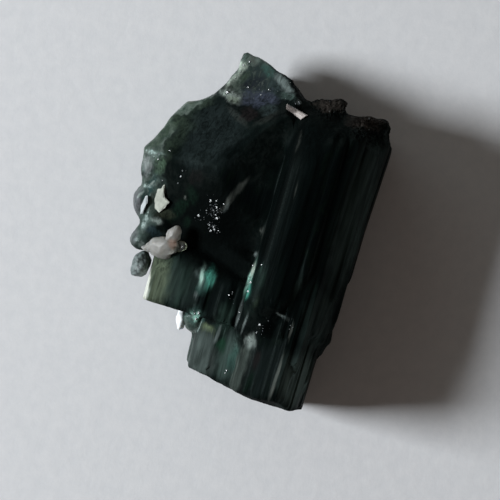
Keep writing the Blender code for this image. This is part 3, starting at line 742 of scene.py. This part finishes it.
def growth_relief(finish):
    """Raises ridges that run with the prisms, and the small shells and grit of a broken surface."""
    values = {"Ridge Pitch": 0.5 * MM, "Ridge Length": 9 * MM, "Ridge Depth": 0.008 * MM,
              "Shell Size": 0.75 * MM, "Shell Depth": 0.06 * MM, "Seed": 4.0}
    tree, given, idents = geometry_tree("growth_relief", dict.fromkeys(values, "NodeSocketFloat"))
    where = tree.add("GeometryNodeInputPosition")
    across = tree.maths("DIVIDE", 1.0, given["Ridge Pitch"])
    along = tree.maths("DIVIDE", 1.0, given["Ridge Length"])
    stretch = tree.add("ShaderNodeCombineXYZ", {0: across, 1: along, 2: across})
    columns = tree.scaled(where, stretch)
    cell = tree.add("ShaderNodeTexVoronoi", {"Vector": columns, "W": given["Seed"]}, out="Color",
                    voronoi_dimensions="4D")
    height = tree.add("ShaderNodeSeparateXYZ", {0: cell})
    wave = tree.noise(tree.scaled(columns, FINER_RIDGES), detail=2, seed=given["Seed"])
    ridges = tree.maths("ADD", tree.maths("SUBTRACT", height, 0.5), tree.maths("SUBTRACT", wave, 0.5))
    ridges = tree.times(tree.times(ridges, given["Ridge Depth"]), tree.named("striated"))

    size = tree.maths("DIVIDE", 1.0, given["Shell Size"])
    spot = tree.add("ShaderNodeVectorMath", {0: where, "Scale": size}, operation="SCALE")
    shell = tree.add("ShaderNodeTexVoronoi", {"Vector": spot, "W": given["Seed"]}, out="Distance",
                     voronoi_dimensions="4D")
    grit = tree.noise(tree.scaled(spot, FINER_GRIT), detail=4, roughness=0.6, seed=given["Seed"])
    shells = tree.maths("ADD", tree.maths("SUBTRACT", shell, 0.5), tree.maths("SUBTRACT", grit, 0.5))
    shells = tree.times(tree.times(shells, given["Shell Depth"]), tree.named("broken"))

    outwards = {0: tree.add("GeometryNodeInputNormal"), "Scale": tree.maths("ADD", ridges, shells)}
    offset = tree.add("ShaderNodeVectorMath", outwards, operation="SCALE")
    moved = tree.add("GeometryNodeSetPosition", {"Geometry": given["Geometry"], "Offset": offset})
    end_tree(tree, moved, finish)
    return tree.tree, idents, values


def apply_tree(piece, made):
    """Runs a geometry tree on a piece and keeps the result as a plain mesh."""
    group, idents, values = made
    modifier = piece.modifiers.new("tree", "NODES")
    modifier.node_group = group
    for name, value in values.items():
        modifier[idents[name]] = value
    graph = bpy.context.evaluated_depsgraph_get()
    done = piece.evaluated_get(graph)
    mesh = bpy.data.meshes.new_from_object(done, preserve_all_data_layers=True, depsgraph=graph)
    piece.modifiers.clear()
    piece.data = mesh
    mesh.name = piece.name


def crystal_skin(finish):
    shape = merged_copy("tourmaline_crystal")
    bmesh.ops.dissolve_limit(shape, angle_limit=FLAT_WITHIN, verts=shape.verts, edges=shape.edges)
    bmesh.ops.triangulate(shape, faces=shape.faces)
    shape.verts.index_update()
    points = np.array([vertex.co for vertex in shape.verts]) / MM - np.array(SHIFT)
    triangles = np.array([[vertex.index for vertex in face.verts] for face in shape.faces])
    normals = np.array([face.normal for face in shape.faces])
    shape.free()
    points, triangles, normals = refine(points, triangles, normals)
    striated, broken = surface_kinds(points, triangles, normals)
    kinds = np.column_stack((striated, broken, broken))
    striated, broken, _ = soften(kinds, triangles, np.ones(len(points)), KIND_FADE).T
    worn = soften(kinds, triangles, np.ones(len(points)), CREASE_WEAR)[:, 1]
    worn = np.clip(worn * WEAR_GAIN, 0, 1) * np.maximum(inside(points, *SMOOTH_BREAK), LEAST_WORN)
    for top in ROUGH_TOPS:
        worn *= 1 - TOPS_UNWORN * inside(points, *top)
    points = soften(points, triangles, worn, BREAK_SOFTENING)
    for centre, half, turn, bulge in FULLER_PLACES:
        points = points + inside(points, centre, half, turn)[:, None] * np.array(bulge)
    for centre, half, turn, rounds in WORN_PLACES:
        points = soften(points, triangles, inside(points, centre, half, turn), rounds)
    for top in ROUGH_TOPS:
        broken *= 1 + ROUGHER * inside(points, *top)
    mesh = bpy.data.meshes.new("crystal_skin")
    mesh.from_pydata((points + np.array(SHIFT)) * MM, [], triangles)
    mark_skin(mesh, points, striated, broken)
    skin = bpy.data.objects.new("crystal_skin", mesh)
    bpy.context.collection.objects.link(skin)
    apply_tree(skin, growth_relief(finish))
    skin.data.shade_smooth()
    skin.data.set_sharp_from_angle(angle=CREASE)
    return skin


# ------------------------------------------------------------------ tiny bright facets on it

# The larger ones, at (x, y), and how large each is.
BRIGHT_SPARKLES = (
    (-3.51, 1.07, 0.8), (-3.02, 1.17, 0.55), (-2.82, 0.62, 0.8), (-2.32, 1.08, 0.6), (-3.06, 0.32, 0.4),
    (-2.72, -0.02, 0.5), (-2.53, -0.30, 0.9), (-4.19, -0.50, 1.0), (-3.01, -1.07, 0.55), (-2.62, -1.09, 0.6),
    (-2.48, -1.30, 0.8), (-2.77, -1.50, 0.85), (-2.11, -1.31, 0.5), (0.42, -6.52, 0.55), (3.72, -8.20, 0.9),
    (3.65, -8.96, 0.5), (2.39, -3.12, 0.5), (1.95, -4.87, 1.0), (1.97, -5.70, 1.0), (-6.68, 2.38, 0.8),
    (-3.77, 14.05, 0.8), (-4.20, 13.60, 0.7), (-4.90, 10.80, 1.1), (-3.25, 11.75, 0.6), (-1.40, 12.05, 0.5),
    (-1.95, 11.40, 0.45), (1.50, 11.60, 0.6), (2.12, -13.02, 0.7), (2.05, -13.30, 0.5), (-1.72, -8.80, 1.0),
    (-1.83, -9.45, 0.8), (-9.10, 3.30, 0.6), (-8.30, 4.30, 0.5), (1.70, -3.40, 0.6), (1.72, -7.70, 0.5),
)
# The finer ones: centre (x, y), half sizes across and along, degrees turned towards +x, and how many.
SPARKLES = (
    ((-2.9, 0.3), (0.55, 1.2), -16, 80), ((-2.6, -1.2), (0.45, 0.45), 0, 40),
    ((-3.9, -0.6), (0.8, 0.6), 0, 12),
    ((-6.75, 3.0), (0.4, 0.8), 0, 3), ((-8.2, 1.5), (0.4, 0.6), 0, 3), ((-8.9, 3.9), (0.3, 1.6), 20, 4),
    ((-2.3, 11.7), (1.0, 2.2), 74, 16), ((-4.4, 10.7), (0.4, 0.6), 0, 8), ((-3.9, 13.8), (0.5, 0.7), 24, 10),
    ((-4.7, 12.2), (0.3, 1.4), 24, 10), ((1.35, 11.5), (0.3, 0.3), 0, 5), ((0.5, -6.6), (0.5, 0.5), 0, 5),
    ((4.1, -8.4), (0.5, 0.8), 0, 16), ((1.8, -4.6), (0.15, 1.6), 0, 12), ((1.8, -7.4), (0.2, 1.4), 0, 6),
    ((-2.0, -9.2), (0.6, 0.6), 0, 10), ((3.55, -9.9), (0.6, 0.5), 0, 8), ((6.4, -7.4), (0.2, 0.8), 0, 5),
    ((4.3, 12.5), (1.2, 0.5), 60, 6), ((7.9, 11.9), (1.4, 0.4), 60, 6),
)
SPARKLE_SEED = 12
LARGER = 1.2  # how many times as large as they are listed the larger ones are made
FINEST, FINE_RANGE = 0.12, 0.6  # the finer ones' sizes
SCATTER = 0.5  # how widely the finer ones lie, as a share of the half sizes
STEADY, LOOSE = 0.03, 0.44  # how far the larger and the finer ones tilt out of their way, in radians
GLINT_WAY = (VIEW_RIGHT * KEY_WAY[0] + VIEW_UP * KEY_WAY[1] + UP * (KEY_WAY[2] + 1.0)).normalized()
# Small growth faces of one crystal look the same few ways, so they flash together.
FACET_WAYS = (GLINT_WAY, GLINT_WAY, GLINT_WAY, Vector((0.35, 0.45, 0.82)))
CHIP_TOP, CHIP_NARROWER, CHIP_SUNK = 0.7, 0.75, 0.4  # as shares of its size, its width and its height
ABOVE_ALL = 0.05  # a height in metres from which to look down on the skin


def surface_below(skin, x, y):
    """The highest point of the skin at x, y in millimetres, and the way it faces there, or (None, None)."""
    start = place((x, y, 0)) + UP * ABOVE_ALL
    found, spot, facing, _ = skin.ray_cast(start, -UP)
    return (spot, facing) if found else (None, None)


def facet_scatter(finish):
    """Stands a six-sided chip on each point, as large as the point says and turned its way, give or take."""
    sizes = {"Chip Size": "NodeSocketFloat", "Chip Height": "NodeSocketFloat", "Seed": "NodeSocketInt"}
    tree, given, idents = geometry_tree("facet_scatter", sizes)
    chip = tree.add("GeometryNodeMeshCone", {
        "Vertices": 6, "Radius Top": tree.times(given["Chip Size"], CHIP_TOP),
        "Radius Bottom": given["Chip Size"], "Depth": given["Chip Height"]})
    sunk = tree.add("ShaderNodeCombineXYZ", {2: tree.times(given["Chip Height"], -CHIP_SUNK)})
    chip = tree.add("GeometryNodeTransform", {
        "Geometry": chip, "Translation": sunk, "Scale": (1.0, CHIP_NARROWER, 1.0)})
    facing = tree.named("facing", "FLOAT_VECTOR")
    upright = tree.add("FunctionNodeAlignRotationToVector", {"Vector": facing}, axis="Z")
    most_tilt = tree.named("tilt")
    most = tree.add("ShaderNodeCombineXYZ", {0: most_tilt, 1: most_tilt, 2: math.pi})
    least = tree.scaled(most, (-1.0, -1.0, -1.0))
    limits = {0: least, 1: most, "Seed": given["Seed"]}
    tilt = tree.add("FunctionNodeRandomValue", limits, data_type="FLOAT_VECTOR")
    tilt = tree.add("FunctionNodeEulerToRotation", {0: tilt})
    turned = tree.add("FunctionNodeRotateRotation", {0: upright, 1: tilt}, rotation_space="LOCAL")
    chips = tree.add("GeometryNodeInstanceOnPoints", {
        "Points": given["Geometry"], "Instance": chip, "Rotation": turned, "Scale": tree.named("size")})
    end_tree(tree, chips, finish)
    values = {"Chip Size": 0.15 * MM, "Chip Height": 0.09 * MM, "Seed": SPARKLE_SEED}
    return tree.tree, idents, values


def bright_facets(skin, finish):
    spread = random.Random(SPARKLE_SEED)
    wanted = [(x, y, size * LARGER, GLINT_WAY, STEADY) for x, y, size in BRIGHT_SPARKLES]
    for (x, y), (across, along), turn, count in SPARKLES:
        to_place = Matrix.Rotation(math.radians(-turn), 2)
        for _ in range(count):
            step = to_place @ Vector((across * spread.gauss(0, SCATTER), along * spread.gauss(0, SCATTER)))
            size = FINEST + FINE_RANGE * spread.random() ** 3
            wanted.append((x + step.x, y + step.y, size, spread.choice(FACET_WAYS), LOOSE))
    spots, facings, sizes, tilts = [], [], [], []
    for x, y, size, way, tilt in wanted:
        spot, facing = surface_below(skin, x, y)
        if spot is not None:
            spots.append(spot)
            facings.append((facing * tilt + way).normalized())
            sizes.append(size)
            tilts.append(tilt)
    mesh = bpy.data.meshes.new("bright_facets")
    mesh.from_pydata(spots, [], [])
    facing = mesh.attributes.new("facing", "FLOAT_VECTOR", "POINT")
    facing.data.foreach_set("vector", np.array(facings).ravel())
    write_values(mesh, "size", sizes)
    write_values(mesh, "tilt", tilts)
    piece = bpy.data.objects.new("bright_facets", mesh)
    bpy.context.collection.objects.link(piece)
    apply_tree(piece, facet_scatter(finish))
    return piece


# ------------------------------------------------------------------ the grains on it

GRAIN_CREASE = math.radians(40)
CHIP_MIDDLE = 0.4  # the distance from a cell's centre at which a worn grain's surface stays where it is
WARM_SPOT = ((-5.66, -3.58, 8.2), 0.65, (0.78, 0.50, 0.38))
# The feldspar's rounded lumps: centre and radii.
FELDSPAR_KNOBS = (
    ((-7.2, -4.4, 6.6), (0.8, 0.4, 0.5)),
    ((-7.8, -4.65, 6.4), (0.55, 0.2, 0.3)),
    ((-6.8, -3.8, 7.0), (0.6, 0.4, 0.5)),
    ((-6.5, -4.8, 6.9), (0.9, 0.35, 0.45)),
)

SHEET_FLAT = math.radians(1)  # a plate's triangles that turn less than this are one face
SHEETS_LOWER = 0.75  # how far below the plate's upper face the sheets begin, as a share of its thickness
SHEET_FILL = 0.8  # how much of its share of the thickness each sheet takes
SHEET_DRAWN_IN = 0.1  # how far an edge may be drawn towards its middle
TOP_DRAWN_IN = 0.12  # how much further the top sheet's is
SHEET_SLIDE_X, SHEET_SLIDE_Y = 0.05, 0.08  # how far a sheet slides at most
SHEET_EDGE_STEP = 0.12  # how far apart the points along an edge are
BAY_DEPTH, BAYS_PER_MM = 0.14, 2.6  # the bays in an edge
SHEETS_APART = 5.0  # how far apart in the noise two sheets' bays are read

PRISM_RINGS = 6
CORNER_TURN, CORNER_REACH = 0.25, (0.8, 1.15)  # how uneven its corners are
PRISM_SLANT = 0.5  # how far its ends lean, as a share of the radius
DENT_DEPTH, DENTS_PER_MM = 0.05, 3.0
PRISM_EDGE = 0.02  # how wide its bevelled edges are
PALE_RISE, PALE_START = 2.5, -1.6  # how much paler it gets along its length, and how pale it starts
ROSE_START, ROSE_END, ROSE_RADII = (0.55, 10.93, 10.2), (2.35, 10.42, 10.4), (0.24, 0.36)

TIP_CENTRE, TIP_RADII = (-4.95, -3.6, 7.55), (0.62, 0.48, 0.36)
TIP_LEAN = Euler((0.0, math.radians(-14), math.radians(30)))
TIP_HOLLOW = 0.45  # how deep its middle is sunk, as a share of its radius
TIP_UNEVEN, TIP_LUMPS = 0.08, 1.7


def new_piece(name, mesh, finish):
    mesh.name = name
    mesh.materials.clear()
    mesh.materials.append(finish)
    piece = bpy.data.objects.new(name, mesh)
    bpy.context.collection.objects.link(piece)
    return piece


def piece_from(shape, name, finish):
    """Makes a piece from a shape in millimetres."""
    mesh = bpy.data.meshes.new(name)
    shape.to_mesh(mesh)
    shape.free()
    mesh.transform(Matrix.Scale(MM, 4))
    return new_piece(name, mesh, finish)


def worn_grain(node, name, finish, voxel=0.06, smoothing=4, lumps=(0.7, 0.1), chips=(0.25, 0.04),
               swell=0.0, knobs=()):
    """A finely meshed grain from a CAD node. lumps and chips are a size and a depth in millimetres, swell is
    how much it grows all round, and a knob is a centre and three radii of a lump that is part of it."""
    shape = merged_copy(node, in_millimetres=True)
    for centre, radii in knobs:
        where = Matrix.Translation(Vector(centre) + SHIFT) @ Matrix.Diagonal((*radii, 1.0))
        bmesh.ops.create_icosphere(shape, subdivisions=3, radius=1.0, matrix=where)
    mesh = bpy.data.meshes.new(name)
    shape.to_mesh(mesh)
    shape.free()
    piece = new_piece(name, mesh, finish)
    remesh = piece.modifiers.new("remesh", "REMESH")
    remesh.mode = "VOXEL"
    remesh.voxel_size = voxel
    smooth = piece.modifiers.new("smooth", "SMOOTH")
    smooth.iterations = smoothing
    graph = bpy.context.evaluated_depsgraph_get()
    mesh = bpy.data.meshes.new_from_object(piece.evaluated_get(graph))
    piece.modifiers.clear()
    places = [vertex.co.copy() for vertex in mesh.vertices]
    normals = [vertex.normal.copy() for vertex in mesh.vertices]
    for vertex, spot, normal in zip(mesh.vertices, places, normals):
        bulge = noise.noise(spot / lumps[0]) * lumps[1]
        chip = (noise.voronoi(spot / chips[0])[0][0] - CHIP_MIDDLE) * chips[1]
        vertex.co = spot + normal * (swell + bulge + chip)
    mesh.transform(Matrix.Scale(MM, 4))
    mesh.materials.clear()
    mesh.materials.append(finish)
    mesh.shade_smooth()
    mesh.set_sharp_from_angle(angle=GRAIN_CREASE)
    piece.data = mesh
    return piece


def flaky_sheets(node, name, finish, sheets, seed):
    """Thin sheets, one on another, that together fill a CAD plate. Each has its own ragged edge."""
    plate = merged_copy(node, in_millimetres=True)
    bmesh.ops.dissolve_limit(plate, angle_limit=SHEET_FLAT, verts=plate.verts, edges=plate.edges)
    face = max(plate.faces, key=lambda other: (round(other.calc_area(), 3), other.normal.z))
    if face.normal.z < 0:
        face = min(plate.faces, key=lambda other: other.normal.dot(face.normal))
    down = -face.normal.normalized()
    outline = [vertex.co.copy() for vertex in face.verts]
    thickness = max((vertex.co - outline[0]).dot(down) for vertex in plate.verts)
    plate.free()
    middle = sum(outline, Vector()) / len(outline)
    spread = random.Random(seed)
    shape = bmesh.new()
    for sheet in range(sheets):
        draw_in = spread.uniform(0.0, SHEET_DRAWN_IN) + TOP_DRAWN_IN * (sheet == 0)
        slide_x = spread.uniform(-SHEET_SLIDE_X, SHEET_SLIDE_X)
        slide = Vector((slide_x, spread.uniform(-SHEET_SLIDE_Y, SHEET_SLIDE_Y), 0))
        edge = []
        for here, start in enumerate(outline):
            end = outline[(here + 1) % len(outline)]
            steps = max(1, round((end - start).length / SHEET_EDGE_STEP))
            edge += [start.lerp(end, step / steps) for step in range(steps)]
        aside = Vector((0, 0, sheet * SHEETS_APART))
        ragged = []
        for spot in edge:
            bay = BAY_DEPTH * noise.noise(spot * BAYS_PER_MM + aside)
            ragged.append(spot.lerp(middle, draw_in + bay) + slide)
        each = thickness * (1 - SHEETS_LOWER) / sheets
        top = thickness * SHEETS_LOWER + each * sheet
        loops = []
        for level in (top, top + each * SHEET_FILL):
            loops.append([shape.verts.new(spot + down * level) for spot in ragged])
            shape.faces.new(loops[-1])
        for here in range(len(ragged)):
            there = (here + 1) % len(ragged)
            shape.faces.new((loops[0][here], loops[0][there], loops[1][there], loops[1][here]))
    bmesh.ops.recalc_face_normals(shape, faces=shape.faces)
    bmesh.ops.triangulate(shape, faces=[face for face in shape.faces if len(face.verts) > 4])
    return piece_from(shape, name, finish)


def cut_prism(name, start, end, radii, sides, seed, finish):
    """A slender crystal with uneven flat sides between two ends. It is paler towards its end."""
    start, end = Vector(start) + SHIFT, Vector(end) + SHIFT
    turned = (end - start).to_track_quat("Z", "Y").to_matrix()
    spread = random.Random(seed)
    corners = []
    for side in range(sides):
        angle = 2 * math.pi * (side + spread.uniform(-CORNER_TURN, CORNER_TURN)) / sides
        corners.append((angle, spread.uniform(*CORNER_REACH)))
    shape = bmesh.new()
    rings = []
    for step in range(PRISM_RINGS):
        share = step / (PRISM_RINGS - 1)
        radius = radii[0] + (radii[1] - radii[0]) * share
        ring = []
        for angle, far in corners:
            slant = radius * PRISM_SLANT * math.cos(angle) * (2 * share - 1)
            spot = turned @ Vector((radius * far * math.cos(angle), radius * far * math.sin(angle), slant))
            spot += start.lerp(end, share)
            ring.append(shape.verts.new(spot + noise.noise_vector(spot * DENTS_PER_MM) * DENT_DEPTH))
        rings.append(ring)
    for ring in (rings[0], rings[-1]):
        shape.faces.new(ring)
    for low, high in zip(rings, rings[1:]):
        for side in range(sides):
            after = (side + 1) % sides
            shape.faces.new((low[side], low[after], high[after], high[side]))
    bmesh.ops.recalc_face_normals(shape, faces=shape.faces)
    bmesh.ops.bevel(shape, geom=shape.edges, offset=PRISM_EDGE, segments=1, affect="EDGES")
    bmesh.ops.triangulate(shape, faces=shape.faces)
    length = (end - start).length
    shares = [(vertex.co - start).dot(end - start) / length ** 2 for vertex in shape.verts]
    piece = piece_from(shape, name, finish)
    write_values(piece.data, "pale", [PALE_RISE * share + PALE_START for share in shares])
    return piece


def glassy_tip(name, finish):
    """The small clear drop at the feldspar's right end, with a raised rim round a sunken middle."""
    shape = bmesh.new()
    bmesh.ops.create_uvsphere(shape, u_segments=32, v_segments=20, radius=1.0)
    for vertex in shape.verts:
        from_middle = math.hypot(vertex.co.x, vertex.co.y)
        hollow = TIP_HOLLOW * (1 - from_middle) ** 2 if vertex.co.z > 0 else 0.0
        vertex.co.z -= hollow
        vertex.co *= 1 + TIP_UNEVEN * noise.noise(vertex.co * TIP_LUMPS)
    size = Matrix.Diagonal((*TIP_RADII, 1.0))
    centre = Matrix.Translation(Vector(TIP_CENTRE) + SHIFT)
    shape.transform(centre @ TIP_LEAN.to_matrix().to_4x4() @ size)
    piece = piece_from(shape, name, finish)
    piece.data.shade_smooth()
    return piece


# ------------------------------------------------------------------ putting it together


def keep(piece, slot, *replaced):
    """Hides the CAD parts that a finished piece stands for and hangs it on the root body. slot is not used.
    """
    if replaced:
        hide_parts(*replaced)
    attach(piece, "root")


def main():
    add_camera()
    add_lights()
    add_floor(floor_finish())
    skin = crystal_skin(tourmaline_finish())
    keep(skin, "tourmaline", "tourmaline_crystal")
    glint = grain_finish("bright_facet", (0.17, 0.19, 0.19), (0.06, 0.07, 0.08), roughness=0.2, patch=0.3)
    keep(bright_facets(skin, glint), "tourmaline")

    feldspar = grain_finish("pale_feldspar", (0.66, 0.655, 0.625), (0.48, 0.48, 0.45), roughness=0.5,
                            patch=0.6, subsurface=1.0, through=0.65, spot=WARM_SPOT)
    grey = grain_finish("grey_grain", (0.15, 0.19, 0.185), (0.025, 0.036, 0.035), roughness=0.55, patch=0.3)
    rose = grain_finish("rose_quartz", (0.62, 0.56, 0.53), (0.12, 0.105, 0.098), roughness=0.4, patch=0.9,
                        subsurface=0.3)
    cream = pearly_finish("cream_mica", (0.49, 0.52, 0.45), (0.33, 0.355, 0.305))
    white = pearly_finish("white_mica", (0.46, 0.5, 0.51), (0.34, 0.38, 0.39))
    milky = pearly_finish("milky_quartz", (0.9, 0.94, 0.95), (0.75, 0.8, 0.82))
    clear = glass_finish("clear_quartz", (0.85, 0.9, 0.85), roughness=0.08, absorbed=(0.62, 0.66, 0.5),
                         density=900.0)
    worn = (
        ("feldspar_lump", feldspar, "feldspar", {
            "lumps": (0.8, 0.09), "chips": (0.42, 0.06), "smoothing": 10, "swell": 0.04,
            "knobs": FELDSPAR_KNOBS}),
        ("grey_grain", grey, "grey_grain", {
            "lumps": (0.6, 0.08), "chips": (0.22, 0.06), "smoothing": 3, "swell": 0.1}),
        ("clear_chip", milky, "clear_quartz", {"lumps": (0.5, 0.05), "smoothing": 2, "swell": 0.1}),
    )
    for node, finish, slot, settings in worn:
        keep(worn_grain(node, node + "_worn", finish, **settings), slot, node)
    flake = flaky_sheets("mica_flake", "mica_flake_sheets", cream, sheets=4, seed=3)
    keep(flake, "pale_mica", "mica_flake")
    sliver = flaky_sheets("mica_sliver", "mica_sliver_sheets", white, sheets=3, seed=5)
    keep(sliver, "white_mica", "mica_sliver")
    keep(glassy_tip("glassy_tip", clear), "clear_quartz")
    chip = cut_prism("quartz_chip_prism", ROSE_START, ROSE_END, ROSE_RADII, sides=6, seed=4, finish=rose)
    keep(chip, "rose_quartz", "quartz_chip")


main()
